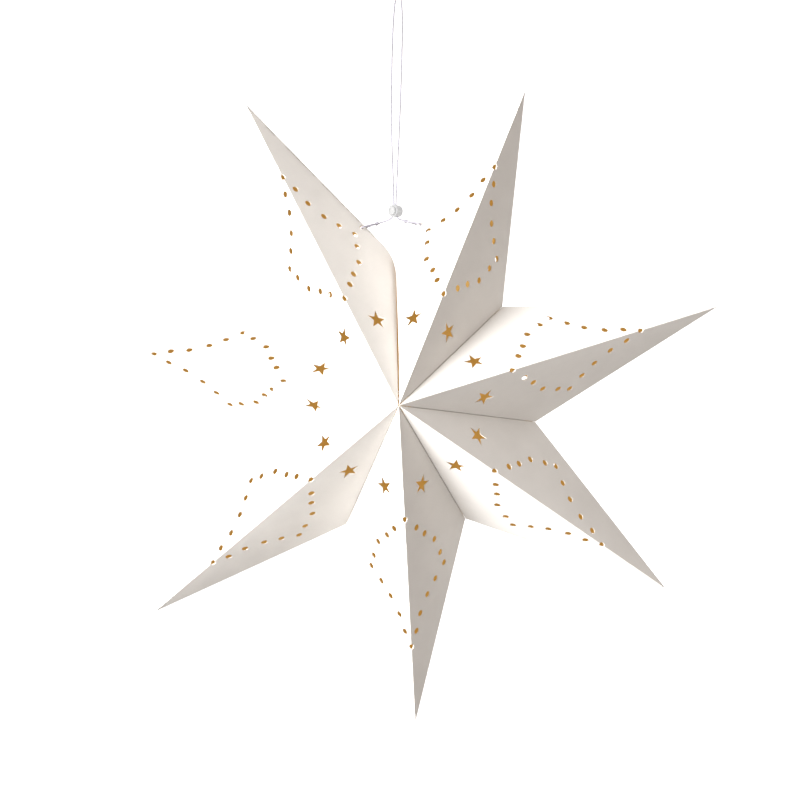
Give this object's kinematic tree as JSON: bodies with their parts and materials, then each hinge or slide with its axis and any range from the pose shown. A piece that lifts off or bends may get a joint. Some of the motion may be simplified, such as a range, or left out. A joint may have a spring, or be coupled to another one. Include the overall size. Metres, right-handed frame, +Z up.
{
  "type": "paper star lantern",
  "caption": "Folded card star shade with punched holes, hung on a white string with a sprung cord lock.",
  "frame": {"origin": "the hanging point: the top inside of the cord's loop, where it bears on its hook", "axes": "+Z up; -Y is the front that faces the room; +X is to the right of someone who looks at the front"},
  "size_m": [0.5926, 0.21, 0.676],
  "materials": {
    "card": "matt white outside, warm amber inside",
    "string": "thin twisted white string",
    "lock_plastic": "satin translucent white",
    "button_plastic": "satin white",
    "spring_wire": "bright wire"
  },
  "bodies": {
    "hanger": {"hanging_cord": "string", "knot_left": "string", "knot_right": "string"},
    "cord_lock": {"lock_barrel": "lock_plastic", "lock_spring": "spring_wire"},
    "push_button": {"lock_plunger": "button_plastic"},
    "arm_upper_left": {"arm_upper_left": "card"},
    "arm_left": {"arm_left": "card"},
    "arm_lower_left": {"arm_lower_left": "card"},
    "arm_bottom": {"arm_bottom": "card"},
    "arm_lower_right": {"arm_lower_right": "card"},
    "arm_right": {"arm_right": "card"},
    "arm_upper_right": {"arm_upper_right": "card"}
  },
  "joints": [
    {"name": "fold_upper_left", "type": "hinge", "parent": "hanger", "child": "arm_upper_left", "pos_m": [0.0014, 0, -0.37], "axis": [0, 1, 0], "range_deg": [0, 14.94], "deforming": ["arm_upper_left"]},
    {"name": "fold_left", "type": "hinge", "parent": "hanger", "child": "arm_left", "pos_m": [0.0014, 0, -0.37], "axis": [0, 1, 0], "range_deg": [0, 63.33], "deforming": ["arm_left"]},
    {"name": "fold_lower_left", "type": "hinge", "parent": "hanger", "child": "arm_lower_left", "pos_m": [0.0014, 0, -0.37], "axis": [0, 1, 0], "range_deg": [0, 111.71], "deforming": ["arm_lower_left"]},
    {"name": "fold_bottom", "type": "hinge", "parent": "hanger", "child": "arm_bottom", "pos_m": [0.0014, 0, -0.37], "axis": [0, 1, 0], "range_deg": [0, 160.1], "deforming": ["arm_bottom"]},
    {"name": "fold_lower_right", "type": "hinge", "parent": "hanger", "child": "arm_lower_right", "pos_m": [0.0014, 0, -0.37], "axis": [0, 1, 0], "range_deg": [0, 208.49], "deforming": ["arm_lower_right"]},
    {"name": "fold_right", "type": "hinge", "parent": "hanger", "child": "arm_right", "pos_m": [0.0014, 0, -0.37], "axis": [0, 1, 0], "range_deg": [0, 256.87], "deforming": ["arm_right"]},
    {"name": "fold_upper_right", "type": "hinge", "parent": "hanger", "child": "arm_upper_right", "pos_m": [0.0014, 0, -0.37], "axis": [0, 1, 0], "range_deg": [0, 305.2], "deforming": ["arm_upper_right"]},
    {"name": "lock_slide", "type": "slide", "parent": "hanger", "child": "cord_lock", "axis": [0.0159, 0, 0.9999], "range_m": [0, 0.12], "deforming": ["hanging_cord"]},
    {"name": "button_press", "type": "slide", "parent": "cord_lock", "child": "push_button", "axis": [0.6157, 0.788, 0], "range_m": [0, 0.0014], "stiffness_N_per_m": 900, "springref_m": -0.0015, "deforming": ["lock_spring"]}
  ],
  "couplings": [
    {"joint": "fold_upper_left", "follows": "fold_upper_right", "ratio": 0.0488},
    {"joint": "fold_left", "follows": "fold_upper_right", "ratio": 0.20733},
    {"joint": "fold_lower_left", "follows": "fold_upper_right", "ratio": 0.36587},
    {"joint": "fold_bottom", "follows": "fold_upper_right", "ratio": 0.5244},
    {"joint": "fold_lower_right", "follows": "fold_upper_right", "ratio": 0.68293},
    {"joint": "fold_right", "follows": "fold_upper_right", "ratio": 0.84147}
  ]
}
